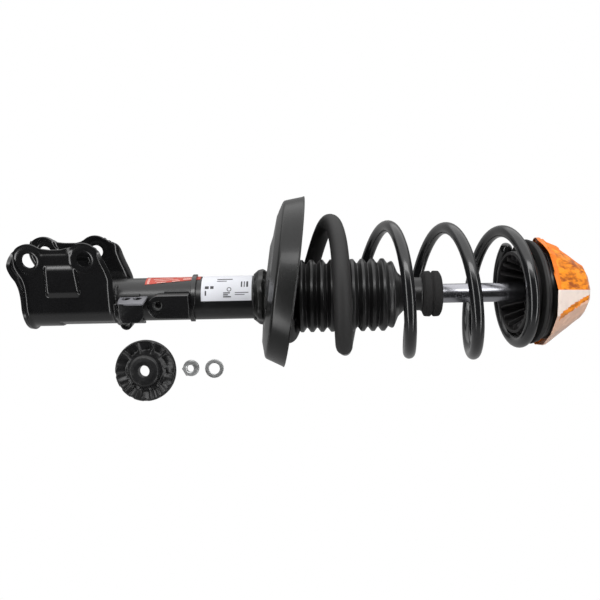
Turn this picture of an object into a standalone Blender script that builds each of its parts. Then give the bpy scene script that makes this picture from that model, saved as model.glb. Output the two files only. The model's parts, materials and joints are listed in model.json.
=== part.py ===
"""MacPherson strut assembly with its coil spring, lying on its side.

Lengths are in millimetres and are turned into metres as each mesh is made.
The strut frame's x axis is the damper's axis, from the knuckle bracket (-x) to
the top mount (+x), and its origin is level with the lower spring seat's rim.
z points up through the two ears of the knuckle bracket.  The strut frame is
lifted by AXIS_HEIGHT, so that everything stands on z = 0.
"""
import math

import bmesh
import bpy
from mathutils import Matrix, Vector

MM = 0.001
GAP = 0.3                       # between pieces that touch
ROUND = 32                      # sides of the large round pieces
SMALL_ROUND = 20                # and of the small ones

# Where the strut frame stands
AXIS_X = -2.4
AXIS_Y = 9.5
AXIS_HEIGHT = 73.1

# Damper
TUBE_OUTER = 22.5
TUBE_INNER = 20.0
TUBE_START = -280.0
TUBE_END = 58.0
PRESSURE_OUTER = 16.7
PRESSURE_INNER = 15.0
ROD_RADIUS = 10.0
STUD_RADIUS = 5.0
ROD_SHOULDER = 257.7
ROD_END = 294.0
PISTON_TOP = 20.0
PISTON_LENGTH = 18.0
GUIDE_START = 36.0

# Knuckle bracket, pressed from sheet
SHEET = 3.5
EAR_HALF_GAP = TUBE_OUTER + GAP
EAR_OUTER = EAR_HALF_GAP + SHEET
BOLT_X = (-273.0, -217.0)
BOLT_Z = 49.0
BOLT_RADIUS = 7.5
LOBE_RADIUS = 17.0
BRACKET_LEFT = -293.5
BRACKET_WAIST = -284.0
BRACKET_RIGHT = -191.0
FLARE = 3.5                     # the pressed edges stand this far out

# Shelf for the brake hose
SHELF_TOP = 8.5
CLIP_Y = -32.5
CURL = (-183.7, -26.2)            # the band's rolled end, under the tube

# Lower spring seat, a dish that leans and sits off the damper's axis
SEAT_RADIUS = 89.7
SEAT_CENTRE = Vector((-6.1, 0.0, 15.6))
SEAT_LEAN = math.radians(8.8)
SEAT_YAW = math.radians(2.7)
SEAT_HOLE = 25.2

# Coil spring: turns are counted from the first crown at the top
WIRE_RADIUS = 6.2
SLEEVE_RADIUS = 8.8
COIL_RADIUS = 65.4
COIL_START = -0.66
COIL_END = 3.9
COIL_CROWN = 24.9
COIL_PITCH = 63.2
DEAD_PITCH = 53.4
END_PITCH = 3.0
COIL_STEPS = 22                 # stations in one turn
SLEEVE_END = 0.40

# Dust boot
BOOT_CREST = 38.0
BOOT_VALLEY = 32.5
BOOT_WALL = 1.6
BOOT_FIRST = 2.0
BOOT_PITCH = 10.56
BOOT_CRESTS = 9
NECK_RADIUS = 17.0
NECK_START = 108.0
NECK_END = 127.0

# Upper spring seat and top mount
UPPER_SEAT_X = 234.0
UPPER_SEAT_YAW = math.radians(7.0)
BEARING_RADIUS = 32.0
BEARING_START = 251.3
BALL_RADIUS = 2.4
BALLS = 12

# Loose fittings, which stand on the floor in front of the strut and lean back
LEAN_BACK = math.radians(14.46)
STOPPER_RADIUS = 29.0
STOPPER_PLACE = (-144.4, -99.6)
NUT_PLACE = (-112.9, -39.5)
NUT_FLANGE = 8.4
WASHER_PLACE = (-88.1, -42.5)
WASHER_RADIUS = 9.6


def clear_scene():
    for old in list(bpy.data.objects):
        bpy.data.objects.remove(old, do_unlink=True)


# ---------------------------------------------------------------- materials

FINISHES = {
    "black_paint": ((0.012, 0.012, 0.013), 0.25, 0.0),
    "spring_paint": ((0.014, 0.014, 0.016), 0.22, 0.0),
    "steel": ((0.45, 0.45, 0.46), 0.35, 1.0),
    "chrome": ((0.62, 0.62, 0.65), 0.12, 1.0),
    "zinc": ((0.60, 0.61, 0.62), 0.30, 1.0),
    "grey_paint": ((0.25, 0.25, 0.27), 0.45, 0.0),
    "rubber": ((0.018, 0.018, 0.018), 0.65, 0.0),
    "boot_rubber": ((0.020, 0.020, 0.021), 0.50, 0.0),
    "foam": ((0.035, 0.034, 0.034), 0.80, 0.0),
    "plastic": ((0.030, 0.030, 0.032), 0.50, 0.0),
    "film": ((0.95, 0.32, 0.04), 0.25, 0.0),
    "red_paper": ((0.65, 0.10, 0.06), 0.50, 0.0),
    "white_paper": ((0.85, 0.86, 0.88), 0.50, 0.0),
}


def material(name):
    found = bpy.data.materials.get(name)
    if found:
        return found
    colour, roughness, metallic = FINISHES[name]
    made = bpy.data.materials.new(name)
    made.use_nodes = True
    shader = made.node_tree.nodes["Principled BSDF"]
    shader.inputs["Base Color"].default_value = (*colour, 1.0)
    shader.inputs["Roughness"].default_value = roughness
    shader.inputs["Metallic"].default_value = metallic
    return made


# ------------------------------------------------------------------ helpers

def empty(name, place, parent=None):
    made = bpy.data.objects.new(name, None)
    bpy.context.collection.objects.link(made)
    made.parent = parent
    made.location = Vector(place) * MM
    return made


def add(name, bm, finish, parent, place=(0, 0, 0)):
    """Turn a bmesh in millimetres, built around place, into an object."""
    bmesh.ops.translate(bm, vec=-Vector(place), verts=bm.verts)
    bmesh.ops.scale(bm, vec=(MM, MM, MM), verts=bm.verts)
    bmesh.ops.recalc_face_normals(bm, faces=bm.faces)
    mesh = bpy.data.meshes.new(name)
    bm.to_mesh(mesh)
    bm.free()
    mesh.shade_smooth()
    mesh.set_sharp_from_angle(angle=math.radians(35))
    mesh.materials.append(material(finish))
    made = bpy.data.objects.new(name, mesh)
    bpy.context.collection.objects.link(made)
    made.parent = parent
    made.location = Vector(place) * MM
    return made


def boolean(target, tool, operation="DIFFERENCE"):
    change = target.modifiers.new(tool.name, "BOOLEAN")
    change.operation = operation
    change.solver = "EXACT"
    change.object = tool
    tool.hide_render = True
    tool.display_type = "WIRE"


def arc(centre, radius, start, end, steps):
    """Points round a centre, angles in degrees."""
    points = []
    for step in range(steps + 1):
        angle = math.radians(start + (end - start) * step / steps)
        points.append((centre[0] + radius * math.cos(angle), centre[1] + radius * math.sin(angle)))
    return points


def turned_mesh(outline, sides=ROUND):
    """Spin an outline of (x, radius) points round x.

    An outline that begins and ends on the axis stays open there.
    """
    bm = bmesh.new()
    verts = [bm.verts.new((x, 0.0, radius)) for x, radius in outline]
    ends = verts[1:] if outline[0][1] == 0 and outline[-1][1] == 0 else verts[1:] + verts[:1]
    edges = [bm.edges.new(pair) for pair in zip(verts, ends)]
    bmesh.ops.spin(bm, geom=verts + edges, cent=(0, 0, 0), axis=(1, 0, 0), dvec=(0, 0, 0),
                   angle=2 * math.pi, steps=sides, use_merge=True, use_duplicate=False)
    bmesh.ops.remove_doubles(bm, verts=bm.verts, dist=1e-3)
    return bm


def turned(name, outline, finish, parent, sides=ROUND, place=(0, 0, 0)):
    return add(name, turned_mesh(outline, sides), finish, parent, place)


def ring(start, end, inner, outer):
    return [(start, inner), (start, outer), (end, outer), (end, inner)]


def rod(start, end, radius):
    return [(start, 0), (start, radius), (end, radius), (end, 0)]


def prism_mesh(outline, start, end, axis):
    """Extrude a closed outline along X, Y or Z; the outline uses the other two."""
    bm = bmesh.new()
    corners = []
    for first, second in outline:
        corner = {"X": (start, first, second), "Y": (first, start, second),
                  "Z": (first, second, start)}[axis]
        corners.append(bm.verts.new(corner))
    face = bm.faces.new(corners)
    grown = bmesh.ops.extrude_face_region(bm, geom=[face])
    moved = [item for item in grown["geom"] if isinstance(item, bmesh.types.BMVert)]
    step = {"X": (end - start, 0, 0), "Y": (0, end - start, 0), "Z": (0, 0, end - start)}[axis]
    bmesh.ops.translate(bm, vec=step, verts=moved)
    return bm


def prism(name, outline, start, end, axis, finish, parent, place=(0, 0, 0)):
    return add(name, prism_mesh(outline, start, end, axis), finish, parent, place)


def hexagon(centre, across_flats):
    radius = across_flats / math.sqrt(3)
    return arc(centre, radius, 30, 330, 5)


# ------------------------------------------------------------------- damper

def damper_body(body):
    turned("outer_tube", ring(TUBE_START, TUBE_END, TUBE_INNER, TUBE_OUTER), "black_paint", body, ROUND)
    cap = TUBE_INNER - GAP
    turned("base_cap", [(-276, 0), (-276, cap), (-264, cap), (-264, 17), (-272, 17), (-272, 0)],
           "steel", body)
    spigot = PRESSURE_INNER - GAP
    turned("foot_valve", [(-263.7, 2), (-263.7, cap), (-258.3, cap), (-258.3, spigot),
                          (-250, spigot), (-250, 2)], "steel", body, SMALL_ROUND)
    turned("pressure_tube", ring(-258, 42, PRESSURE_INNER, PRESSURE_OUTER), "steel", body, SMALL_ROUND)
    bush_seat = ROD_RADIUS + 1.9
    turned("rod_guide", [(GUIDE_START, bush_seat), (GUIDE_START, spigot), (42.3, spigot),
                         (42.3, cap), (53.7, cap), (53.7, bush_seat)], "steel", body, SMALL_ROUND)
    turned("rod_bushing", ring(37, 53, ROD_RADIUS + GAP, bush_seat - GAP), "steel", body, SMALL_ROUND)
    turned("rod_seal", ring(54, 57.7, ROD_RADIUS + GAP, cap), "rubber", body, SMALL_ROUND)
    inside = TUBE_OUTER + GAP
    turned("tube_end_cap", [(46, inside), (46, 25), (60, 25), (62, 23), (62, 12), (58.3, 12),
                            (58.3, inside)], "steel", body, SMALL_ROUND)


def damper_rod(body):
    tail = 6.0
    start = PISTON_TOP - PISTON_LENGTH
    turned("piston_rod", [(start - 10.5, 0), (start - 10.5, tail), (PISTON_TOP + GAP, tail),
                          (PISTON_TOP + GAP, ROD_RADIUS), (ROD_SHOULDER, ROD_RADIUS),
                          (ROD_SHOULDER, STUD_RADIUS), (ROD_END - 1, STUD_RADIUS),
                          (ROD_END, STUD_RADIUS - 1), (ROD_END, 0)], "chrome", body, SMALL_ROUND)
    wall = PRESSURE_INNER - 0.4
    groove = wall - 1.8
    bore = tail + GAP
    turned("piston", [(start, bore), (start, wall), (start + 6, wall), (start + 6, groove),
                      (start + 10, groove), (start + 10, wall), (PISTON_TOP, wall),
                      (PISTON_TOP, bore)], "steel", body, SMALL_ROUND)
    turned("piston_ring", ring(start + 6 + GAP, start + 10 - GAP, groove + GAP, wall), "plastic",
           body, SMALL_ROUND)
    nut = prism("piston_nut", hexagon((0, 0), 19), start - 8.3, start - GAP, "X", "steel", body)
    boolean(nut, turned("cutter_piston_nut", rod(start - 12, start + 2, bore), "steel", body, SMALL_ROUND))
    turned("rebound_stop", ring(GUIDE_START - 6.3, GUIDE_START - GAP, ROD_RADIUS + GAP, wall - 0.6),
           "plastic", body, SMALL_ROUND)


# ----------------------------------------------------------------- brackets

def bracket_side():
    """The knuckle bracket seen from the side: two lobes over a straight-sided sleeve."""
    left, right = BOLT_X
    outline = [(BRACKET_WAIST, -EAR_OUTER - 1), (BRACKET_WAIST, 22), (BRACKET_LEFT + 1, 37),
               (BRACKET_LEFT, 42)]
    outline += arc((left, BOLT_Z), LOBE_RADIUS, 165, 48, 8)
    outline += [(left + 18, 59), (right - 18, 59)]
    outline += arc((right, BOLT_Z), LOBE_RADIUS, 132, 12, 8)
    outline += [(BRACKET_RIGHT - 2, 30), (BRACKET_RIGHT, 20), (BRACKET_RIGHT, -EAR_OUTER - 1)]
    return outline


def knuckle_bracket(body):
    top = BOLT_Z + LOBE_RADIUS + 4
    section = [(-EAR_OUTER, top)] + arc((0, 0), EAR_OUTER, 180, 360, 24) + [(EAR_OUTER, top)]
    section += [(EAR_HALF_GAP, top)] + arc((0, 0), EAR_HALF_GAP, 360, 180, 24)
    section += [(-EAR_HALF_GAP, top)]
    bracket = prism("knuckle_bracket", section, BRACKET_LEFT - 2, BRACKET_RIGHT + 2, "X",
                    "black_paint", body)
    boolean(bracket, prism("cutter_ears", bracket_side(), -40, 40, "Y", "black_paint", body),
            "INTERSECT")
    outer, inner = EAR_OUTER + FLARE, EAR_HALF_GAP + 1.5
    flare = [(-outer, 21)] + arc((0, 0), outer, 180, 360, 24) + [(outer, 21), (inner, 21)]
    flare += arc((0, 0), inner, 360, 180, 24) + [(-inner, 21)]
    for number, x in enumerate((BRACKET_WAIST, BRACKET_RIGHT - SHEET), 1):
        boolean(bracket, prism(f"cutter_flare_{number}", flare, x, x + SHEET, "X", "black_paint", body),
                "UNION")
    for number, x in enumerate(BOLT_X, 1):
        hole = arc((x, BOLT_Z), BOLT_RADIUS, 0, 345, 23)
        boolean(bracket, prism(f"cutter_bolt_{number}", hole, -40, 40, "Y", "black_paint", body))


def brake_hose_bracket(body):
    """A shelf with two clip holes on a half band that hugs the near side of the tube."""
    near = TUBE_OUTER + GAP
    band = arc((0, 0), near + 2.5, 150, 290, 14) + arc((0, 0), near, 290, 150, 14)
    bracket = prism("brake_hose_bracket", band, -184, -166, "X", "grey_paint", body)
    shelf = [(-184, -21), (-184, -46), (-180, -50), (-159, -50), (-155, -46), (-155, -21)]
    boolean(bracket, prism("cutter_shelf", shelf, SHELF_TOP - 2.5, SHELF_TOP, "Z", "grey_paint", body),
            "UNION")
    curl = arc(CURL, 6.3, 7, 352, 23)
    boolean(bracket, prism("cutter_curl", curl, -9, 7.5, "Y", "grey_paint", body), "UNION")
    boolean(bracket, prism("cutter_curl_bore", arc(CURL, 2.8, 7, 352, 23), -12, 12, "Y", "grey_paint", body))
    boolean(bracket, turned("cutter_hose_band", rod(-200, -150, near), "grey_paint", body, ROUND))
    for number, x in enumerate((-176.0, -164.5), 1):
        slot = arc((x - 1.2, CLIP_Y), 3.8, 90, 270, 8) + arc((x + 1.2, CLIP_Y), 3.8, -90, 90, 8)
        boolean(bracket, prism(f"cutter_clip_{number}", slot, 0, 12, "Z", "grey_paint", body))


def stabiliser_link_bracket(body):
    """A pressed box on the tube's near side, with a weld nut behind its bolt hole."""
    front = -34.0
    middle = -0.5
    hole = (-143.5, middle + 2.0)
    left = arc((-142.3, middle), 12.0, 90, 270, 12)
    bracket = prism("stabiliser_link_bracket", left + [(-112, middle - 12), (-112, middle + 12)],
                    front, -12, "Y", "black_paint", body)
    pocket = arc((-142.3, middle), 9.5, 90, 270, 12) + [(-114.5, middle - 9.5), (-114.5, middle + 9.5)]
    boolean(bracket, prism("cutter_pocket", pocket, front + 2.5, 0, "Y", "black_paint", body))
    near = TUBE_OUTER + GAP
    boolean(bracket, turned("cutter_link_tube", rod(-170, -100, near), "black_paint", body, ROUND))
    bolt = arc(hole, 5.0, 0, 340, 17)
    boolean(bracket, prism("cutter_link_hole", bolt, -40, -25, "Y", "black_paint", body))
    nut = prism("link_weld_nut", hexagon(hole, 11.4), front + 2.8, -23.2, "Y", "zinc", body)
    bore = arc(hole, 3.6, 0, 340, 17)
    boolean(nut, prism("cutter_link_nut", bore, -40, -20, "Y", "zinc", body))
    band = arc((0, 0), near + 2.5, 118, 212, 12) + arc((0, 0), near, 212, 118, 12)
    prism("link_bracket_band", band, -111.7, -106.5, "X", "black_paint", body)


# ------------------------------------------------------- lower seat, spring

def ease(share):
    """A smooth step from 0 to 1."""
    share = max(0.0, min(1.0, share))
    return share * share * (3 - 2 * share)


def coil_centre(turn):
    """The wire's centre at a turn count: crowns at whole turns, near side at quarters."""
    angle = 2 * math.pi * turn
    flat = 0.10 * math.log1p(math.exp((turn - 3.15) / 0.10))
    pitch = COIL_PITCH if turn > 0 else DEAD_PITCH
    along = COIL_CROWN + pitch * turn - (COIL_PITCH - END_PITCH) * flat
    up_share = max(0.0, min(1.0, turn / 3.2))
    lean_up = 9.6 * (1 - up_share)
    lean_near = 2.0 + 3.5 * up_share
    low_taper = 14.0 * ease((-turn - 0.05) / 0.5)
    high_taper = 13.5 * (1 - math.cos(math.pi * max(0.0, min(1.0, (turn - 2.6) / 1.1)))) / 2
    radius = COIL_RADIUS - low_taper - high_taper
    rise = 1.5 + 9.9 * (1 - up_share) ** 2.2
    return Vector((along + lean_up * math.cos(angle) + lean_near * math.sin(angle),
                   -radius * math.sin(angle),
                   rise + radius * math.cos(angle)))


def coil_stations(first, last):
    """Centres and cross-section directions at even steps of turn."""
    count = round((last - first) * COIL_STEPS)
    stations = []
    for index in range(count + 1):
        turn = first + index / COIL_STEPS
        tangent = (coil_centre(turn + 0.001) - coil_centre(turn - 0.001)).normalized()
        outward = Vector((0, -math.sin(2 * math.pi * turn), math.cos(2 * math.pi * turn)))
        outward = (outward - tangent * outward.dot(tangent)).normalized()
        stations.append((coil_centre(turn), outward, tangent.cross(outward)))
    return stations


def swept(stations, radius, bore=None, sides=8):
    """A wire along stations, or a hose when it has a bore."""
    bm = bmesh.new()

    def skin(size):
        rows = []
        for centre, outward, across in stations:
            row = []
            for index in range(sides):
                angle = 2 * math.pi * index / sides
                offset = outward * math.cos(angle) + across * math.sin(angle)
                row.append(bm.verts.new(centre + offset * size))
            rows.append(row)
        for low, high in zip(rows, rows[1:]):
            for index in range(sides):
                after = (index + 1) % sides
                bm.faces.new((low[index], low[after], high[after], high[index]))
        return rows[0], rows[-1]

    outer = skin(radius)
    if bore is None:
        for row in outer:
            bm.faces.new(row)
        return bm
    inner = skin(bore)
    for wide, narrow in zip(outer, inner):
        for index in range(sides):
            after = (index + 1) % sides
            bm.faces.new((wide[index], wide[after], narrow[after], narrow[index]))
    return bm


def coil_spring(body):
    add("coil_spring", swept(coil_stations(COIL_START, COIL_END), WIRE_RADIUS), "spring_paint", body)
    sleeve = swept(coil_stations(COIL_START, SLEEVE_END), SLEEVE_RADIUS, WIRE_RADIUS + GAP)
    add("spring_sleeve", sleeve, "rubber", body)


def lower_seat(body):
    """Dish and isolator are turned round the seat's own leaning axis."""
    lean = Matrix.Rotation(SEAT_YAW, 4, "Z") @ Matrix.Rotation(SEAT_LEAN, 4, "Y")
    place = Matrix.Translation(SEAT_CENTRE) @ lean
    edge = SEAT_RADIUS
    dish = [(-28, 0), (-28, 34), (-26, 45), (-25, 66), (-21, edge - 10.2), (0, edge), (0, edge - 3.3),
            (-19.5, edge - 12.7), (-22, 66), (-23, 45), (-25, 34), (-25, 0)]
    bm = turned_mesh(dish, 36)
    bmesh.ops.transform(bm, matrix=place, verts=bm.verts)
    seat = add("lower_spring_seat", bm, "black_paint", body)
    boolean(seat, turned("cutter_seat_hole", rod(-70, 40, SEAT_HOLE), "black_paint", body, ROUND))
    add("lower_isolator", isolator_mesh(place), "rubber", body)
    near = TUBE_OUTER + GAP
    turned("lower_seat_collar", [(-46, near), (-46, 25.6), (-43, 28.5), (-40.6, 28.5), (-39.6, 25),
                                 (-18, 25), (-18, near)], "black_paint", body)


def isolator_mesh(place):
    """A rubber ring whose top climbs with the wire's underside and steps down at its end."""
    inner, outer, floor = 45.6, 71.0, -20.0
    inverse = place.inverted()
    steps = 40
    bm = bmesh.new()
    rows = []
    for index in range(steps + 1):
        turn = COIL_START - 0.015 + 0.97 * index / steps
        wire = inverse @ coil_centre(min(turn, -0.27))
        top = min(max(wire.x - SLEEVE_RADIUS - 1.0, floor + 2.0), -6.0)
        angle = 2 * math.pi * turn
        side = Vector((0, -math.sin(angle), math.cos(angle)))
        row = [side * inner + Vector((floor, 0, 0)), side * outer + Vector((floor, 0, 0)),
               side * outer + Vector((top, 0, 0)), side * inner + Vector((top, 0, 0))]
        rows.append([bm.verts.new(place @ point) for point in row])
    for low, high in zip(rows, rows[1:]):
        for corner in range(4):
            after = (corner + 1) % 4
            bm.faces.new((low[corner], low[after], high[after], high[corner]))
    for row in (rows[0], rows[-1]):
        bm.faces.new(row)
    return bm


def dust_boot(body):
    """Bellows with a lip on the tube, a shoulder, a cone and a neck on the bumper."""
    near = TUBE_OUTER + GAP
    outer = [(BOOT_FIRST - 12, near + BOOT_WALL), (BOOT_FIRST - 6, near + BOOT_WALL),
             (BOOT_FIRST - 4, BOOT_VALLEY)]
    for crest in range(BOOT_CRESTS):
        x = BOOT_FIRST + crest * BOOT_PITCH
        outer += [(x, BOOT_CREST), (x + BOOT_PITCH / 2, BOOT_VALLEY)]
    shoulder = outer[-1][0] + 5
    outer += [(shoulder, 34), (NECK_START, NECK_RADIUS), (NECK_END, NECK_RADIUS)]
    inner = [(x, radius - BOOT_WALL) for x, radius in reversed(outer)]
    turned("dust_boot", outer + inner, "boot_rubber", body, SMALL_ROUND)


def labels(body):
    """Two paper labels that lie on the tube."""
    inside, outside = TUBE_OUTER + GAP, TUBE_OUTER + GAP + 0.4
    white = arc((0, 0), outside, 60, 172, 14) + arc((0, 0), inside, 172, 60, 14)
    prism("white_label", white, -101, -49, "X", "white_paper", body)
    red = arc((0, 0), outside, 55, 104, 8) + arc((0, 0), inside, 104, 55, 8)
    prism("red_label", red, -160, -103, "X", "red_paper", body)


# -------------------------------------------------------------- upper parts

def jounce_bumper(body):
    bore = ROD_RADIUS + GAP
    wall = NECK_RADIUS - BOOT_WALL - GAP
    turned("jounce_bumper", [(98, bore), (98, 18), (102, 20), (106, 18), (NECK_START + 1, wall - 1),
                             (NECK_END + GAP, wall - 1), (NECK_END + GAP, 19), (130, 24), (144, 24),
                             (147, 21), (147, bore)], "foam", body, SMALL_ROUND)


def upper_seat(body):
    """A leaning flange and collar on a flat floor, which carries the thrust bearing."""
    yaw = Matrix.Rotation(UPPER_SEAT_YAW, 4, "Z")
    place = Matrix.Translation((UPPER_SEAT_X, 0, 0)) @ yaw
    flange = [(-14, 39.3), (-14, 42.3), (4.0, 42.3), (4.0, 57), (7.0, 57), (7.0, 42.3), (15.5, 42.3),
              (15.5, 39.3)]
    bm = turned_mesh(flange)
    bmesh.ops.transform(bm, matrix=place, verts=bm.verts)
    centre = (UPPER_SEAT_X, 0, 0)
    seat = add("upper_spring_seat", bm, "plastic", body, centre)
    boolean(seat, turned("cutter_seat_floor", [(244.5, 16), (244.5, 41), (249, 41), (249, 38), (251, 38),
                                               (251, 16)], "plastic", body, ROUND), "UNION")
    bm = turned_mesh([(0.3, 45), (0.3, 58), (3.7, 58), (3.7, 45)])
    bmesh.ops.transform(bm, matrix=place, verts=bm.verts)
    add("upper_isolator", bm, "rubber", body, centre)
    race = BEARING_START
    turned("bearing_lower_race", ring(race, race + 1.7, BEARING_RADIUS - 5, BEARING_RADIUS + 5),
           "steel", body, ROUND)


def bearing_top(body):
    middle = BEARING_START + 1.7 + GAP + BALL_RADIUS
    cage = turned("bearing_cage", ring(middle - 0.8, middle + 0.8, 28.2, 35.8), "plastic", body, ROUND)
    holes = bmesh.new()
    ball = bmesh.new()
    bmesh.ops.create_icosphere(ball, subdivisions=2, radius=BALL_RADIUS)
    for index in range(BALLS):
        angle = 2 * math.pi * index / BALLS
        place = Vector((middle, BEARING_RADIUS * math.sin(angle), BEARING_RADIUS * math.cos(angle)))
        matrix = Matrix.Translation(place) @ Matrix.Rotation(math.pi / 2, 4, "Y")
        bmesh.ops.create_cone(holes, cap_ends=True, segments=12, radius1=BALL_RADIUS + 0.4,
                              radius2=BALL_RADIUS + 0.4, depth=6, matrix=matrix)
        one = ball.copy()
        bmesh.ops.translate(one, vec=place, verts=one.verts)
        add(f"bearing_ball_{index + 1:02d}", one, "chrome", body, place)
    ball.free()
    boolean(cage, add("cutter_cage", holes, "plastic", body))
    top = middle + BALL_RADIUS + GAP
    turned("bearing_upper_race", ring(top, top + 1.7, BEARING_RADIUS - 5, BEARING_RADIUS + 5),
           "steel", body, ROUND)
    return top + 1.7 + GAP


def top_mount(body):
    """Shell, rubber and core on the rod's stud, over the thrust bearing."""
    base = bearing_top(body)
    turned("mount_shell", [(247.3, 46.5), (247.3, 49), (256, 49), (263, 43.5), (275, 35), (286, 27),
                           (286, 16), (283.5, 16), (283.5, 25.3), (274, 32.3), (267, 37.5), (base, 40.5),
                           (base - 5, 44.5), (base - 5, 46.5)], "black_paint", body, ROUND)
    turned("mount_rubber", [(base, 13), (base, 36), (266, 36), (280.2, 25.2), (280.2, 13)], "rubber",
           body, ROUND)
    bore = STUD_RADIUS + GAP
    turned("mount_core", [(ROD_SHOULDER + GAP, bore), (ROD_SHOULDER + GAP, 11), (260, 12.7),
                          (283, 12.7), (283, bore)], "steel", body, SMALL_ROUND)
    nut = prism("rod_nut", hexagon((0, 0), 16), 283.3, 291.5, "X", "zinc", body)
    boolean(nut, turned("cutter_rod_nut", rod(280, 296, bore), "zinc", body, SMALL_ROUND))


def protective_cover(body):
    """An eight-sided film cap pulled over the mount for transport."""
    wall = 0.8
    outer = [(251, 58.5), (262, 51.5), (275, 41.5), (285, 33.5), (291, 28.5), (296, 18), (298.3, 8)]
    inner = [(x - 0.3 * wall, radius - wall) for x, radius in reversed(outer[1:-1])]
    outline = outer + [(298.3, 0), (298.3 - wall, 0), (298.3 - wall, 7.5)] + inner
    outline.append((251, 58.5 - wall))
    bm = turned_mesh(outline, 8)
    turn = Matrix.Rotation(math.radians(22.5), 4, "X")
    bmesh.ops.transform(bm, matrix=turn, verts=bm.verts)
    add("protective_cover", bm, "film", body, (275, 0, 0))


# ----------------------------------------------------------- loose fittings

def stopper_plate(body):
    """Cupped rubber-faced plate with a raised hub."""
    outline = [(-6, 5.3), (-6, 13), (-4.5, 14.6), (1.5, 16.5), (2.5, 20), (-0.5, STOPPER_RADIUS - 1),
               (1, STOPPER_RADIUS), (4, STOPPER_RADIUS), (6, STOPPER_RADIUS - 5), (6, 17), (3, 5.3)]
    stand(turned_mesh(outline), "stopper_plate", "rubber", body, STOPPER_PLACE, STOPPER_RADIUS, 4.0)


def flat_washer(body):
    stand(turned_mesh(ring(-1.1, 1.1, 5.6, WASHER_RADIUS), SMALL_ROUND), "flat_washer", "zinc", body,
          WASHER_PLACE, WASHER_RADIUS, 1.1)


def lock_nut(body):
    """A flange nut: hexagon in front, round flange behind it."""
    where = (body, NUT_PLACE, NUT_FLANGE, 4.0)
    nut = stand(turned_mesh(rod(1.5, 4, NUT_FLANGE), SMALL_ROUND), "lock_nut", "zinc", *where)
    flats = arc((0, 0), 14.4 / math.sqrt(3), 0, 300, 5)
    boolean(nut, stand(prism_mesh(flats, -4, 2, "X"), "cutter_nut_hex", "zinc", *where), "UNION")
    bore = prism_mesh(arc((0, 0), 4.4, 0, 345, 23), -6, 6, "X")
    boolean(nut, stand(bore, "cutter_nut_bore", "zinc", *where))


def stand(bm, name, finish, body, place, radius, back):
    """Turn a piece that faces -x to face -y, lean it back, and stand it on the floor.

    radius is its outer edge's, and back is how far that edge goes behind the piece's middle.
    """
    lift = radius * math.cos(LEAN_BACK) + back * math.sin(LEAN_BACK)
    centre = Vector((place[0], place[1], lift - AXIS_HEIGHT))
    facing = Matrix.Rotation(-LEAN_BACK, 4, "X") @ Matrix.Rotation(math.pi / 2, 4, "Z")
    bmesh.ops.transform(bm, matrix=Matrix.Translation(centre) @ facing, verts=bm.verts)
    return add(name, bm, finish, body, centre)


def build():
    clear_scene()
    strut = empty("strut_frame", (AXIS_X, AXIS_Y, AXIS_HEIGHT))
    travel = empty("travel_axis", (0, 0, 0), strut)
    swivel = empty("swivel_axis", (0, 0, 0), travel)
    damper_body(strut)
    knuckle_bracket(strut)
    brake_hose_bracket(strut)
    stabiliser_link_bracket(strut)
    labels(strut)
    lower_seat(strut)
    coil_spring(strut)
    dust_boot(strut)
    jounce_bumper(empty("bumper_axis", (0, 0, 0), strut))
    upper_seat(travel)
    damper_rod(swivel)
    top_mount(swivel)
    protective_cover(swivel)
    stopper_plate(strut)
    lock_nut(strut)
    flat_washer(strut)


build()
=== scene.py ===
"""The strut assembly's looks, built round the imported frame.

Lengths are in millimetres in the strut frame: x runs along the damper from the
knuckle bracket to the top mount, y away from the camera, z up, and the origin is
level with the lower spring seat's rim.  Each mesh turns into metres in the row
frame as it is placed.
"""
import json
import math

import bmesh
import bpy
from mathutils import Matrix, Vector, noise


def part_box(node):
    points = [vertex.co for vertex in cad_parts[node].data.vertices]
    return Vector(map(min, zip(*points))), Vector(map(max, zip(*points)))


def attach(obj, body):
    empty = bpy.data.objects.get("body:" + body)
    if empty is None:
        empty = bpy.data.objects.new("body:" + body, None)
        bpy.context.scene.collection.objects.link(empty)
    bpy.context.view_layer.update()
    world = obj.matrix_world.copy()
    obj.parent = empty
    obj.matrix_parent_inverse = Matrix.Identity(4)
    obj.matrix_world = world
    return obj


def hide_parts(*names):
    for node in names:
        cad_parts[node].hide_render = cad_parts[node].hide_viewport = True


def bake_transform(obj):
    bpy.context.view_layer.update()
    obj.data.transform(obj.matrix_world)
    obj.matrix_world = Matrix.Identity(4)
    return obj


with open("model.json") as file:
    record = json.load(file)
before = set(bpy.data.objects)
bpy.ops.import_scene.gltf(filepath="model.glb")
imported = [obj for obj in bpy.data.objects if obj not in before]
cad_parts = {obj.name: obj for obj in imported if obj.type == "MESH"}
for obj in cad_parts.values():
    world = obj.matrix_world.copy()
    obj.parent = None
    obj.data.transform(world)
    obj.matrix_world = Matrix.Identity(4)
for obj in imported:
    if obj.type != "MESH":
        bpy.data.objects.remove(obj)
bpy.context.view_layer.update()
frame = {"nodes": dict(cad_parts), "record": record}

MM = 0.001
TUBE_START = -280.0
tube_box, rod_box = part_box("outer_tube"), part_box("piston_rod")
ORIGIN = Vector((tube_box[0][0] - TUBE_START * MM,
                 (rod_box[0][1] + rod_box[1][1]) / 2,
                 (rod_box[0][2] + rod_box[1][2]) / 2))
TO_ROW = Matrix.Translation(ORIGIN) @ Matrix.Scale(MM, 4)
FLOOR = -ORIGIN.z / MM

# Damper
TUBE = 22.5
ROD = 10.0

# Knuckle bracket
SHEET = 3.5
EAR_MIDDLE = 24.55              # half the distance between the two ears' mid-surfaces
BOLT_X = (-273.0, -217.0)
BOLT_Z = 49.0
BOLT_RADIUS = 7.5

# Lower spring seat
SEAT_RADIUS = 89.7
SEAT_CENTRE = Vector((-6.1, 0.0, 15.6))
SEAT_LEAN = math.radians(8.8)
SEAT_YAW = math.radians(2.7)

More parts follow.
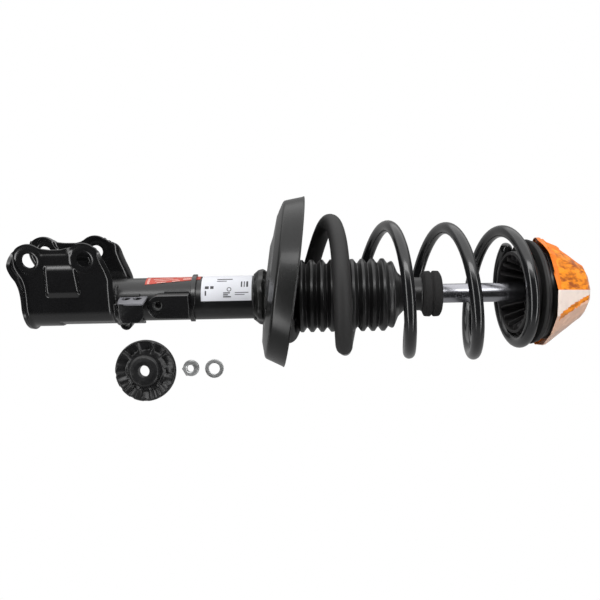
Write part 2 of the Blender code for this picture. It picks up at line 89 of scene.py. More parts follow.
# Coil spring
WIRE = 6.2
SLEEVE = 8.8
COIL_RADIUS = 65.4
COIL_START, COIL_END = -0.66, 3.9
SLEEVE_END = 0.40
COIL_CROWN = 24.9
COIL_PITCH = 63.2
DEAD_PITCH = 53.4
END_PITCH = 3.0

# Dust boot
CREST, VALLEY = 38.5, 33.0
BOOT_FIRST, BOOT_PITCH, BOOT_CRESTS = 2.0, 10.56, 9
NECK = 17.0

# Upper seat
UPPER_X = 234.0
UPPER_YAW = math.radians(7.0)

# Loose fittings lean back
LEAN_BACK = math.radians(14.46)


# ------------------------------------------------------------------ materials

def finish(name, colour, roughness, metallic=0.0, spread=0.12, grain=260.0, bump=0.00002, rough_spread=0.06,
           stretch=(1, 1, 1), coat=0.0, coat_roughness=0.04, specular=0.5, detail=3.0, patch=14.0, low=None):
    """A Principled finish whose colour, gloss and surface vary with noise in the row frame."""
    made = bpy.data.materials.new(name)
    made.use_nodes = True
    nodes, links = made.node_tree.nodes, made.node_tree.links
    shader = nodes["Principled BSDF"]
    shader.inputs["Metallic"].default_value = metallic
    shader.inputs["Specular IOR Level"].default_value = specular
    shader.inputs["Coat Weight"].default_value = coat
    shader.inputs["Coat Roughness"].default_value = coat_roughness
    place = nodes.new("ShaderNodeTexCoord")
    scale = nodes.new("ShaderNodeMapping")
    scale.inputs["Scale"].default_value = stretch
    links.new(place.outputs["Object"], scale.inputs["Vector"])

    def texture(size, octaves):
        made_noise = nodes.new("ShaderNodeTexNoise")
        made_noise.inputs["Scale"].default_value = size
        made_noise.inputs["Detail"].default_value = octaves
        links.new(scale.outputs["Vector"], made_noise.inputs["Vector"])
        return made_noise.outputs["Fac"]

    fine, wide = texture(grain, detail), texture(patch, 4.0)
    ramp = nodes.new("ShaderNodeValToRGB")
    ramp.color_ramp.elements[0].position = 0.40 if low else 0.3
    ramp.color_ramp.elements[1].position = 0.54 if low else 0.7
    ramp.color_ramp.elements[0].color = (*(low or [c * (1 - spread) for c in colour]), 1)
    ramp.color_ramp.elements[1].color = (*[min(1.0, c * (1 + spread)) for c in colour], 1)
    blend = nodes.new("ShaderNodeMath")
    blend.operation = "MULTIPLY_ADD"
    blend.inputs[1].default_value = 0.5
    half = nodes.new("ShaderNodeMath")
    half.operation = "MULTIPLY"
    half.inputs[1].default_value = 0.5
    links.new(fine, half.inputs[0])
    links.new(wide, blend.inputs[0])
    links.new(half.outputs[0], blend.inputs[2])
    links.new(blend.outputs[0], ramp.inputs["Fac"])
    links.new(ramp.outputs["Color"], shader.inputs["Base Color"])
    gloss = nodes.new("ShaderNodeMapRange")
    gloss.inputs["From Min"].default_value = 0.3
    gloss.inputs["From Max"].default_value = 0.7
    gloss.inputs["To Min"].default_value = max(0.02, roughness - rough_spread)
    gloss.inputs["To Max"].default_value = roughness + rough_spread
    links.new(wide, gloss.inputs["Value"])
    links.new(gloss.outputs["Result"], shader.inputs["Roughness"])
    relief = nodes.new("ShaderNodeBump")
    relief.inputs["Strength"].default_value = 1.0
    relief.inputs["Distance"].default_value = bump
    links.new(fine, relief.inputs["Height"])
    links.new(relief.outputs["Normal"], shader.inputs["Normal"])
    return made


GLOSS = finish("gloss_black_paint", (0.0075, 0.0075, 0.008), 0.20, bump=0.000012, grain=420, spread=0.3,
               coat=0.35)
TUBE_PAINT = finish("tube_black_paint", (0.008, 0.008, 0.0085), 0.30, bump=0.00001, grain=500, spread=0.3,
                    coat=0.15,
                    coat_roughness=0.12)
SPRING_PAINT = finish("spring_powder_coat", (0.008, 0.0082, 0.009), 0.20, bump=0.00002, grain=380, spread=0.3,
                      coat=0.4, coat_roughness=0.06)
SEAT_PAINT = finish("seat_black_paint", (0.007, 0.0072, 0.007), 0.26, bump=0.00002, grain=300, spread=0.35,
                    specular=0.36, coat=0.1)
GREY_PAINT = finish("bracket_grey_paint", (0.16, 0.16, 0.175), 0.38, bump=0.00002, grain=350, spread=0.15)
STEEL = finish("machined_steel", (0.42, 0.42, 0.43), 0.32, 1.0, bump=0.00001, stretch=(6, 1, 1), grain=300)
CHROME = finish("hard_chrome", (0.40, 0.40, 0.43), 0.24, 1.0, spread=0.05, bump=0.000002, stretch=(25, 1, 1),
                grain=160, rough_spread=0.03)
ZINC = finish("zinc_plating", (0.56, 0.57, 0.57), 0.42, 1.0, spread=0.12, bump=0.00001, grain=500, patch=120)
RUBBER = finish("black_rubber", (0.017, 0.017, 0.017), 0.62, bump=0.00003, grain=700, specular=0.35)
MOULDED = finish("moulded_rubber", (0.011, 0.011, 0.0115), 0.33, bump=0.00003, grain=420, spread=0.25,
                 rough_spread=0.10, specular=0.4)
HOSE = finish("sleeve_hose", (0.024, 0.0235, 0.0235), 0.60, bump=0.00003, grain=520, spread=0.12,
              specular=0.35,
              rough_spread=0.03)
BOOT = finish("boot_rubber", (0.010, 0.010, 0.0102), 0.34, bump=0.00001, grain=500, specular=0.5,
              rough_spread=0.05)
FOAM = finish("bumper_foam", (0.024, 0.0235, 0.0235), 0.85, bump=0.00012, grain=1400, spread=0.3,
              specular=0.2,
              detail=5.0)
NYLON = finish("glass_filled_nylon", (0.016, 0.015, 0.0155), 0.48, bump=0.00002, grain=650, spread=0.25)
WHITE_PAPER = finish("white_label_paper", (0.66, 0.67, 0.71), 0.50, spread=0.03, bump=0.000004, grain=900)
RED_PAPER = finish("red_label_paper", (0.44, 0.055, 0.035), 0.50, spread=0.2, bump=0.000004, grain=900,
                   patch=60)
PALE_PRINT = finish("red_label_pale_print", (0.62, 0.30, 0.26), 0.5, spread=0.2, grain=900)
INK = finish("label_ink", (0.03, 0.03, 0.035), 0.5, spread=0.1, grain=900)
WELD = finish("weld_bead", (0.012, 0.012, 0.0125), 0.34, bump=0.00006, grain=500, spread=0.3)


def film(name, colour, spread=0.14, see_through=0.25, roughness=0.24, low=None, stretch=(1, 1, 1)):
    made = finish(name, colour, roughness, spread=spread, grain=150, patch=90, bump=0.00006, specular=0.5,
                  coat=0.3,
                  coat_roughness=0.12, low=low, stretch=stretch)
    shader = made.node_tree.nodes["Principled BSDF"]
    shader.inputs["Transmission Weight"].default_value = see_through
    shader.inputs["IOR"].default_value = 1.2
    return made


FILM = film("orange_film", (0.98, 0.22, 0.015), see_through=0.1)
# painted reflection: a pale peach colour stands in for light reflected by the film's near and lower facets
FILM_REFLECTION = film("orange_film_painted_reflection", (1.0, 0.58, 0.42), see_through=0.0)
# painted glare: a whitish colour stands in for the light the film reflects from its camera-facing facet
FILM_GLARE = film("film_painted_glare", (0.95, 0.80, 0.72), spread=0.06, see_through=0.0, roughness=0.3)
PRINT = film("film_print", (0.98, 0.27, 0.015), see_through=0.0, low=(0.34, 0.075, 0.01),
             stretch=(0.25, 1, 1.6))


# -------------------------------------------------------------------- helpers

def put(name, data):
    """A new object in the scene."""
    made = bpy.data.objects.new(name, data)
    bpy.context.collection.objects.link(made)
    return made


def piece(name, bm, finishes, body, replaces=(), sharp=32):
    """Place a bmesh made in millimetres, and say what it rides on and stands for."""
    bmesh.ops.remove_doubles(bm, verts=bm.verts, dist=1e-4)
    bmesh.ops.recalc_face_normals(bm, faces=bm.faces)
    bm.transform(TO_ROW)
    mesh = bpy.data.meshes.new(name)
    bm.to_mesh(mesh)
    bm.free()
    mesh.shade_smooth()
    mesh.set_sharp_from_angle(angle=math.radians(sharp))
    for one in finishes if isinstance(finishes, (list, tuple)) else [finishes]:
        mesh.materials.append(one)
    made = put(name, mesh)
    if body:
        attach(made, body)
    if replaces:
        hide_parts(*replaces)
    return made


def solve(bm, tools, solidify=None):
    """Apply a Solidify and Boolean modifiers to a bmesh, and give back the result."""
    mesh = bpy.data.meshes.new("work")
    bmesh.ops.recalc_face_normals(bm, faces=bm.faces)
    bm.to_mesh(mesh)
    bm.free()
    work = put("work", mesh)
    if solidify:
        thick = work.modifiers.new("sheet", "SOLIDIFY")
        thick.thickness = solidify
        thick.offset = 0.0
        thick.use_even_offset = False
    used = []
    for index, (tool, how) in enumerate(tools):
        bmesh.ops.recalc_face_normals(tool, faces=tool.faces)
        tool_mesh = bpy.data.meshes.new("tool")
        tool.to_mesh(tool_mesh)
        tool.free()
        cutter = put(f"tool_{index}", tool_mesh)
        used.append(cutter)
        change = work.modifiers.new("cut", "BOOLEAN")
        change.operation = how or "DIFFERENCE"
        change.solver = "EXACT"
        change.object = cutter
    bpy.context.view_layer.update()
    result = bmesh.new()
    result.from_mesh(work.evaluated_get(bpy.context.evaluated_depsgraph_get()).to_mesh())
    for old in [work, *used]:
        bpy.data.objects.remove(old, do_unlink=True)
    return result


def arc(centre, radius, start, end, steps):
    points = []
    for step in range(steps + 1):
        angle = math.radians(start + (end - start) * step / steps)
        points.append((centre[0] + radius * math.cos(angle), centre[1] + radius * math.sin(angle)))
    return points


def rounded(points, radius, steps=4, closed=True):
    """Round an outline's corners; a third number on a point is its own radius."""
    out = []
    count = len(points)
    for index, point in enumerate(points):
        here = Vector(point[:2])
        size = point[2] if len(point) > 2 else radius
        if size <= 0 or (not closed and index in (0, count - 1)):
            out.append(tuple(here))
            continue
        before = Vector(points[index - 1][:2]) - here
        after = Vector(points[(index + 1) % count][:2]) - here
        angle = before.angle(after)
        if angle > math.radians(177) or angle < 0.02:
            out.append(tuple(here))
            continue
        reach = min(size / math.tan(angle / 2), 0.48 * min(before.length, after.length))
        first, last = here + before.normalized() * reach, here + after.normalized() * reach
        for step in range(steps + 1):
            t = step / steps
            spot = first * (1 - t) ** 2 + here * 2 * t * (1 - t) + last * t * t
            out.append((spot.x, spot.y))
    return out


def bridge(bm, rows):
    """Join each closed ring of vertices to the next."""
    for low, high in zip(rows, rows[1:]):
        for index in range(len(low)):
            after = (index + 1) % len(low)
            bm.faces.new((low[index], low[after], high[after], high[index]))


def lathe(outline, sides=128, closed=True, shape=None, start=0.0, end=360.0):
    """Spin (x, radius) points round x; angle 0 is up and 90 is towards the camera."""
    whole = abs(end - start - 360) < 1e-6
    bm = bmesh.new()
    rings = []
    for x, radius in outline:
        if radius < 1e-6:
            rings.append([bm.verts.new((x, 0, 0))])
            continue
        ring = []
        for index in range(sides if whole else sides + 1):
            angle = math.radians(start + (end - start) * index / sides)
            at_x, at_r = shape(x, radius, angle) if shape else (x, radius)
            ring.append(bm.verts.new((at_x, -at_r * math.sin(angle), at_r * math.cos(angle))))
        rings.append(ring)
    pairs = list(zip(rings, rings[1:]))
    if closed and len(rings[0]) > 1 and len(rings[-1]) > 1:
        pairs.append((rings[-1], rings[0]))
    for low, high in pairs:
        for index in range(sides):
            after = (index + 1) % sides if whole else index + 1
            if len(low) == 1 and len(high) == 1:
                continue
            if len(low) == 1:
                bm.faces.new((low[0], high[after], high[index]))
            elif len(high) == 1:
                bm.faces.new((low[index], low[after], high[0]))
            else:
                bm.faces.new((low[index], low[after], high[after], high[index]))
    if not whole:
        for side in (0, -1):
            bm.faces.new([ring[side] for ring in rings])
    return bm


def prism(outline, start, end, axis, chamfer=0.0):
    """Extrude an outline along X, Y or Z with chamfered rims."""
    bm = bmesh.new()

    def spot(first, second, along):
        return {"X": (along, first, second), "Y": (first, along, second), "Z": (first, second, along)}[axis]

    count = len(outline)
    points = [Vector(p) for p in outline]
    inward = []
    area = sum(a.x * b.y - b.x * a.y for a, b in zip(points, points[1:] + points[:1]))
    turn = 1 if area > 0 else -1
    for index, point in enumerate(points):
        before = (point - points[index - 1]).normalized()
        after = (points[(index + 1) % count] - point).normalized()
        normal = Vector((-(before + after).y, (before + after).x)) * turn
        inward.append(normal.normalized() if normal.length > 1e-9 else Vector((0, 0)))
    sign = 1 if end > start else -1
    if chamfer:
        c = chamfer
        levels = [(start, c), (start + sign * 0.3 * c, 0.3 * c), (start + sign * c, 0), (end - sign * c, 0),
                  (end - sign * 0.3 * c, 0.3 * c), (end, c)]
    else:
        levels = [(start, 0), (end, 0)]
    rings = [[bm.verts.new(spot(*(p + n * shrink), along)) for p, n in zip(points, inward)]
             for along, shrink in levels]
    bridge(bm, rings)
    bm.faces.new(rings[0])
    bm.faces.new(rings[-1])
    return bm


def join(*parts):
    """Put several bmeshes into one."""
    bm = parts[0]
    for other in parts[1:]:
        mesh = bpy.data.meshes.new("part")
        other.to_mesh(mesh)
        other.free()
        bm.from_mesh(mesh)
        bpy.data.meshes.remove(mesh)
    return bm


def moved(bm, matrix):
    bm.transform(matrix)
    return bm


def polyline(points, smooth=True):
    """Samples along a polyline, smoothed through its points, and their running lengths."""
    dense = []
    vectors = [Vector(p) for p in points]
    for index in range(len(vectors) - 1):
        a = vectors[max(index - 1, 0)]
        b, c = vectors[index], vectors[index + 1]
        d = vectors[min(index + 2, len(vectors) - 1)]
        for step in range(12):
            t = step / 12
            if smooth:
                spot = 0.5 * (2 * b + (c - a) * t + (2 * a - 5 * b + 4 * c - d) * t * t
                              + (3 * b - a - 3 * c + d) * t ** 3)
            else:
                spot = b.lerp(c, t)
            dense.append(spot)
    dense.append(vectors[-1])
    lengths = [0.0]
    for a, b in zip(dense, dense[1:]):
        lengths.append(lengths[-1] + (b - a).length)
    return dense, lengths


def along(line, share):
    """The point at a share of a sampled polyline's length."""
    dense, lengths = line
    goal = share * lengths[-1]
    for index in range(1, len(dense)):
        if lengths[index] >= goal:
            step = lengths[index] - lengths[index - 1]
            t = (goal - lengths[index - 1]) / step if step else 0.0
            return dense[index - 1].lerp(dense[index], t)
    return dense[-1].copy()


def bump_step(value, edge, width):
    """0 before an edge, 1 after it, smooth across width."""
    t = max(0.0, min(1.0, (value - edge) / width + 0.5))
    return t * t * (3 - 2 * t)


# -------------------------------------------------------------- damper's tube

def damper():
    tube = rounded([(-280, 20.2), (-280, TUBE), (58, TUBE), (58, 20.2)], 0.8)
    piece("tube_body", lathe(tube, 144), TUBE_PAINT, "strut_body", ["outer_tube"])
    stud = []
    thread = 262.0
    while thread < 292.0:
        stud += [(thread, 4.9), (thread + 0.35, 4.35), (thread + 0.75, 4.35), (thread + 1.1, 4.9)]
        thread += 1.25
    rod = [(-8.5, 0), (-8.5, 5.4), (-7.9, 6), (20.3, 6), (20.3, 9.6), (20.8, ROD), (257.2, ROD), (257.7, 9.5),
           (257.7, 5)] + stud + [(293, 4.9), (294, 4), (294, 0)]
    piece("chromed_rod", lathe(rod, 96, closed=False), CHROME, "top_mount", ["piston_rod"])


def weld(name, path, radius=1.7):
    """A rippled weld bead along a path of (point, outward direction)."""
    bm = bmesh.new()
    rows = []
    sides = 10
    for index, (spot, outward) in enumerate(path):
        if index == 0:
            tangent = (path[1][0] - spot).normalized()
        elif index == len(path) - 1:
            tangent = (spot - path[index - 1][0]).normalized()
        else:
            tangent = (path[index + 1][0] - path[index - 1][0]).normalized()
        across = tangent.cross(outward).normalized()
        fade = min(1.0, 0.25 + 0.35 * min(index, len(path) - 1 - index))
        size = radius * fade * (1 + 0.16 * math.sin(index * 1.9) + 0.10 * noise.noise(spot * 0.4))
        rows.append([bm.verts.new(spot + (outward * 0.75 * math.cos(2 * math.pi * k / sides)
                                          + across * math.sin(2 * math.pi * k / sides)) * size)
                     for k in range(sides)])
    bridge(bm, rows)
    bm.faces.new(rows[0])
    bm.faces.new(rows[-1])
    return piece(name, bm, WELD, "strut_body", sharp=60)


def tube_arc(x, first, last, radius=TUBE + 0.4, steps=40, wander=0.0):
    """A weld path round the tube; angle 0 is up and 90 is towards the camera."""
    path = []
    for step in range(steps + 1):
        angle = math.radians(first + (last - first) * step / steps)
        out = Vector((0, -math.sin(angle), math.cos(angle)))
        path.append((Vector((x + wander * math.sin(step * 0.6), 0, 0)) + out * radius, out))
    return path


# ------------------------------------------------------------- knuckle bracket

FLARE_REACH = 6.0
FLARE_STEPS = 9
BRACKET_WIDTH = 93.0


def ear_edges(far):
    """Side outlines of one ear in (x, z): left and right edges from z = 0 up, and the top."""
    left = [(-283.0, 0), (-282.8, 10), (-283.2, 20), (-285.3, 29), (-289.5, 36.5), (-292.0, 44), (-291.0, 52),
            (-287.0, 59.4)]
    if far:
        right = [(-185.2, 0), (-185.0, 9), (-185.3, 17), (-188.0, 26), (-191.5, 35), (-194.5, 44),
                 (-197.0, 53.5),
                 (-203.5, 57.5)]
        top = (arc((-276, 48.5), 16.8, 140, 50, 12) + [(-260.5, 59.2), (-252, 58.2), (-240, 58.0),
                                                       (-235, 59.2)]
               + arc((-219.8, 48.7), 16.8, 133, 48, 12) + [(-203.5, 57.5)])
    else:
        right = [(-191.0, 0), (-191.0, 10), (-190.8, 20), (-190.6, 28), (-193.5, 38), (-197.5, 47),
                 (-200.5, 53),
                 (-203.8, 60.2)]
        top = (arc((-274, 49), 17.0, 141, 50, 12) + [(-260.5, 60.6), (-252, 59.3), (-240, 59.3), (-232, 61.2)]
               + arc((-218, 48.5), 17.4, 130, 50, 12) + [(-203.8, 60.2)])
    top[0] = left[-1]
    return polyline(left), polyline(right), polyline(top, smooth=False)


def bracket_columns():
    """Shares of the width, close together where the pressed edges turn outward."""
    turned = [FLARE_REACH * (1 - math.cos(math.pi / 2 * k / FLARE_STEPS)) for k in range(FLARE_STEPS)]
    flat = BRACKET_WIDTH - 2 * FLARE_REACH
    middle = [FLARE_REACH + flat * k / 110 for k in range(111)]
    return [q / BRACKET_WIDTH for q in turned + middle + [BRACKET_WIDTH - q for q in reversed(turned)]]


def flare(distance, height):
    if distance >= FLARE_REACH:
        return 0.0
    t = 1 - distance / FLARE_REACH
    return height * (1 - math.sqrt(max(0.0, 1 - t * t)))


def ear_relief(x, z):
    """How far the pressed ear stands out of its plane."""
    panel = (bump_step(x, -257.0 + (z - 27) * 0.02, 3.4) * (1 - bump_step(x, -226.5 + (z - 27) * -0.1, 3.4))
             * bump_step(z, 13.5, 9.0) * (1 - bump_step(z, 41.0, 9.0)))
    raised = 3.2 * panel
    for bolt in BOLT_X:
        reach = math.hypot(x - bolt, z - BOLT_Z)
        raised += 0.7 * (1 - bump_step(reach, 13.5, 4.0)) - 0.5 * (1 - bump_step(reach, 9.8, 2.2))
    ledge = bump_step(x, -262, 6) * (1 - bump_step(x, -231, 9)) * bump_step(z, 54.0, 4.5)
    raised -= 1.3 * ledge
    return raised


def knuckle_bracket():
    columns = bracket_columns()
    ear_rows, round_rows = 84, 44
    bm = bmesh.new()
    grid = []
    for far in (False, True):
        left, right, top = ear_edges(far)
        low_left, low_right = along(left, 0), along(right, 0)
        high_left, high_right = along(top, 0), along(top, 1)
        rows = []
        for row in range(ear_rows + 1):
            v = row / ear_rows
            edge_left, edge_right = along(left, v), along(right, v)
            line = []
            for t in columns:
                spot = ((1 - v) * low_left.lerp(low_right, t) + v * along(top, t)
                        + (1 - t) * edge_left + t * edge_right
                        - (1 - t) * (1 - v) * low_left - t * (1 - v) * low_right
                        - (1 - t) * v * high_left - t * v * high_right)
                fade = 1 - bump_step(v, 0.86, 0.24)
                tall_left = 5.5 + 2.5 * bump_step(v, 0.35, 0.5)
                tall_right = (9.0 if far else 4.0) - 0.5 * v
                rise = flare(t * BRACKET_WIDTH, tall_left * fade)
                rise += flare((1 - t) * BRACKET_WIDTH, tall_right * fade)
                rise += ear_relief(spot.x, spot.y)
                side = EAR_MIDDLE + rise
                line.append((spot.x, side if far else -side, spot.y))
            rows.append(line)
        grid.append(rows)
    near, far_rows = grid
    bottom = []
    for row in range(1, round_rows):
        share = row / round_rows
        angle = math.pi * (1 + share)
        line = []
        for t in columns:
            x_near = near[0][0][0] * (1 - t) + near[0][-1][0] * t
            x_far = far_rows[0][0][0] * (1 - t) + far_rows[0][-1][0] * t
            x = x_near * (1 - share) + x_far * share
            dip = math.sin(math.pi * share)
            rise = flare(t * BRACKET_WIDTH, 5.5 - 1.0 * dip)
            rise += flare((1 - t) * BRACKET_WIDTH, 4.0 + 5.0 * share - 2.0 * dip)
            seam = bump_step(x, -251, 2.0) * bump_step(dip, 0.72, 0.12)
            rise -= 1.5 * seam
            radius = EAR_MIDDLE + rise
            line.append((x, radius * math.cos(angle), radius * math.sin(angle)))
        bottom.append(line)
    lines = list(reversed(near)) + bottom + far_rows
    verts = [[bm.verts.new(spot) for spot in line] for line in lines]
    for low, high in zip(verts, verts[1:]):
        for index in range(len(columns) - 1):
            bm.faces.new((low[index], low[index + 1], high[index + 1], high[index]))
    tools = []
    for x in BOLT_X:
        tools.append((prism(arc((x, BOLT_Z), BOLT_RADIUS, 0, 355, 71), -45, 0, "Y"), None))
        tools.append((prism(arc((x - 1.2, BOLT_Z - 0.7), 6.8, 0, 355, 71), 0, 45, "Y"), None))
    bm = solve(bm, tools, solidify=SHEET)
    piece("knuckle_bracket_sheet", bm, GLOSS, "strut_body", ["knuckle_bracket"], sharp=40)
    weld("weld_bracket_right_far", tube_arc(-186.5, -118, -38, wander=0.3))
    weld("weld_bracket_right_near", tube_arc(-189.5, 30, 118, wander=0.3))


# --------------------------------------------------------- the tube's brackets

SHELF_TOP = 8.5


def hose_bracket():
    """A pale shelf with two oval holes, folded down at its near edge, on a band."""
    shelf = rounded([(-184.9, -16), (-183, -34), (-180, -48.5, 3), (-154, -49.8, 3), (-156.5, -16)], 2.0, 6)
    tools = []
    for x in (-176.0, -164.5):
        for radius, low, high in ((4.4, SHELF_TOP - 0.7, 14), (5.6, 0, SHELF_TOP - 0.6)):
            slot = [(x + a, -30.6 + 1.25 * b) for a, b in arc((0, 0), radius, 0, 350, 35)]
            tools.append((prism(slot, low, high, "Z"), None))
    plate = solve(prism(shelf, SHELF_TOP - 2.4, SHELF_TOP, "Z", 0.5), tools)
    near = TUBE + 0.3
    band = lathe(rounded([(-184, near), (-184, near + 2.5), (-164, near + 2.5), (-164, near)], 0.6), 48,
                 start=62, end=172)
    lip = prism(rounded([(-179.5, SHELF_TOP - 0.6), (-179.5, -6, 4), (-177, -12, 4), (-160, -12, 4),
                         (-155, -6, 4),
                         (-155, SHELF_TOP - 0.6)], 1.0, 5), -48.8, -46.6, "Y", 0.5)
    gusset = prism(rounded([(-47.8, SHELF_TOP - 1), (-47.8, -6, 4), (-33, -16, 4), (-19, -16),
                            (-19, SHELF_TOP - 1)],
                           1.0, 5), -184, -181.7, "X", 0.4)
    piece("hose_bracket_shelf", plate, GREY_PAINT, "strut_body", ["brake_hose_bracket"])
    piece("hose_bracket_band", join(band, lip, gusset), GLOSS, "strut_body")
    centre = (-184.6, -25.0)
    curl = arc(centre, 6.3, 100, -240, 48) + arc(centre, 3.4, 100, -240, 48)[::-1]
    piece("hose_bracket_curl", prism(curl, -8, 8, "Y", 0.5), GLOSS, "strut_body")


def link_bracket():
    """A pressed cup on the tube's near side, a weld nut behind its hole, and a band round the tube."""
    middle, front = -0.5, -34.0
    hole = (-143.5, middle + 2)

    def outline(half, end, steps):
        return arc((-142.3, middle), half, 90, 270, steps) + [(end, middle - half), (end, middle + half)]

    tools = [prism(outline(9.5, -114.5, 24), front + 2.5, 0, "Y"),
             lathe([(-170, 0), (-170, TUBE + 0.3), (-100, TUBE + 0.3), (-100, 0)], 128, closed=False),
             prism(arc(hole, 5.0, 0, 352, 44), -40, -25, "Y")]
    body = solve(prism(outline(12.0, -112, 32), front, -12, "Y", 1.0), [(tool, None) for tool in tools])
    piece("link_bracket_cup", body, GLOSS, "strut_body", ["stabiliser_link_bracket"])
    nut = prism(arc(hole, 5.7 / math.cos(math.pi / 6), 30, 330, 5), front + 2.8, -23.2, "Y", 0.5)
    bore = arc(hole, 3.6, 0, 350, 35)
    piece("link_nut", solve(nut, [(prism(bore, -40, -20, "Y"), None)]), ZINC, "strut_body",
          ["link_weld_nut"])
    near = TUBE + 0.3

    def kink(x, radius, angle):
        return x - 2.6 * bump_step(math.degrees(angle), 96, 34), radius

    strip = rounded([(-111.6, near), (-111.6, near + 2.6), (-106.6, near + 2.6), (-106.6, near)], 0.8)
    band = lathe(strip, 72, start=-8, end=148, shape=kink)
    piece("link_band", band, GLOSS, "strut_body", ["link_bracket_band"])
    for name, z, lean in (("weld_link_top", 12.2, 0.6), ("weld_link_bottom", -13.2, -0.6)):
        weld(name, [(Vector((-139 + 1.35 * k, -19.6, z)), Vector((0, -0.8, lean))) for k in range(20)], 1.5)


def labels():
    """Two paper labels; their marks are plain bars and a ring."""
    skin = TUBE + 0.45

    def sheet(low, high, first, last, steps, radius=skin, thick=0.35):
        outline = [(low, radius - thick), (low, radius), (high, radius), (high, radius - thick)]
        return lathe(outline, steps, start=first, end=last)

    def mark(bm, low, high, first, last):
        extra = sheet(low, high, first, last, max(2, int(abs(last - first) / 4)), skin + 0.06, 0.1)
        for face in extra.faces:
            face.material_index = 1
        return join(bm, extra)

    white = sheet(-101, -49, -60, 84, 60)
    for low, high, first, last in ((-97, -93, 44, 52), (-91.5, -88, 44, 52), (-97, -95.5, 57, 70),
                                   (-78, -71, 62, 65),
                                   (-78, -73, 67, 70), (-78, -70, 72, 75), (-60, -58.6, 30, 48),
                                   (-57, -56, 30, 48), (-54.5, -52.5, 30, 48), (-66, -52, 62, 64),
                                   (-66, -56, 67, 69), (-85, -69, 18, 22), (-85, -75, 26, 29)):
        white = mark(white, low, high, first, last)
    ring = bmesh.new()
    count = 32
    rows = []
    for reach in (1.6, 2.4):
        row = []
        for index in range(count):
            turn = 2 * math.pi * index / count
            angle = math.radians(54) + reach * math.sin(turn) / skin
            row.append(ring.verts.new((-72 + reach * math.cos(turn), -(skin + 0.08) * math.sin(angle),
                                       (skin + 0.08) * math.cos(angle))))
        rows.append(row)
    bridge(ring, rows)
    bmesh.ops.solidify(ring, geom=ring.faces[:], thickness=0.1)
    for face in ring.faces:
        face.material_index = 1
    piece("label_white", join(white, ring), [WHITE_PAPER, INK], "strut_body", ["white_label"])
    red = sheet(-160, -103, -15, 34, 24)
    for low, high, first, last in ((-152, -132, 14, 18), (-150, -126, 23, 26), (-128, -112, 12, 16),
                                   (-121, -108, 22, 30), (-148, -138, 31, 34), (-158, -155.5, 4, 34),
                                   (-132, -124, 30, 34)):
        red = mark(red, low, high, first, last)
    for vert in red.verts:
        vert.co = Matrix.Rotation(math.radians((vert.co.x + 160) / 57 * 17), 3, "X").inverted() @ vert.co
    piece("label_red", red, [RED_PAPER, PALE_PRINT], "strut_body", ["red_label"])


# ---------------------------------------------------------- lower seat, spring

def lower_seat():
    place = (Matrix.Translation(SEAT_CENTRE) @ Matrix.Rotation(SEAT_YAW, 4, "Z")
             @ Matrix.Rotation(SEAT_LEAN, 4, "Y"))
    edge = SEAT_RADIUS
    outline = rounded([(-29, 20), (-29, 34, 5), (-27, 45, 5), (-25.5, 66, 4), (-20.6, edge - 7.2, 5),
                       (-1.8, edge - 0.9, 1), (0, edge + 0.3, 0.8), (-0.2, edge - 3.0, 0.8),
                       (-2, edge - 4, 1),
                       (-18.2, edge - 10.5, 4), (-22.3, 66, 4), (-23.4, 45, 5), (-25.6, 34, 5), (-25.6, 20)],
                       0.8, 5)

    def ribs(x, radius, angle):
        degrees = math.degrees(angle) % 360
        wave = 0.0
        if 46 < radius < 66:
            across = bump_step(radius, 49, 5) * (1 - bump_step(radius, 63, 5))
            for centre in (20, 68, 116, 164, 212, 260, 308, 352):
                away = abs((degrees - centre + 180) % 360 - 180) * radius * math.pi / 180
                wave += 1.5 * (1 - bump_step(away, 8.5, 5)) * across
        return x - wave, radius

    bm = moved(lathe(outline, 216, shape=ribs), place)
    tools = [(lathe([(-70, 0), (-70, 25.4), (40, 25.4), (40, 0)], 96, closed=False), None)]
    for degrees in (-52, -30, -6):
        angle = math.radians(degrees)
        slot = rounded([(-30, -5.0), (-30, 5.0), (-15.5, 5.0), (-15.5, -5.0)], 2.2, 5)
        cutter = prism(slot, 70, 96, "Z")
        cutter.transform(place @ Matrix.Rotation(angle, 4, "X"))
        tools.append((cutter, None))
    for degrees in (140, 205):
        angle = math.radians(degrees)
        hole = prism(arc((0, 0), 4.5, 0, 345, 23), -40, -10, "X")
        hole.transform(place @ Matrix.Rotation(angle, 4, "X") @ Matrix.Translation((0, 0, 56)))
        tools.append((hole, None))
    piece("spring_seat_dish", solve(bm, tools), SEAT_PAINT, "strut_body",
          ["lower_spring_seat"])
    collar()
    isolator(place)


def collar():
    near = TUBE + 0.3

    def lumps(x, radius, angle):
        if radius < 24:
            return x, radius
        wave = math.cos(angle * 6 + 0.7)
        out = 1.2 * max(0.0, wave) * bump_step(-x, 30, 6)
        down = 1.6 * max(0.0, -wave) * bump_step(-x, 33, 4)
        return x - out, radius - down

    outline = rounded([(-46.5, near), (-46.5, 24.6, 1.0), (-42.0, 28.4, 2), (-37.5, 29.6, 1.5), (-34, 27, 2),
                       (-18, 26), (-18, near)], 0.8, 5)
    piece("seat_collar", lathe(outline, 144, shape=lumps), SEAT_PAINT, "strut_body",
          ["lower_seat_collar"])
    weld("weld_collar", tube_arc(-47.0, 0, 359, TUBE + 0.9, 120, 0.2), 1.3)


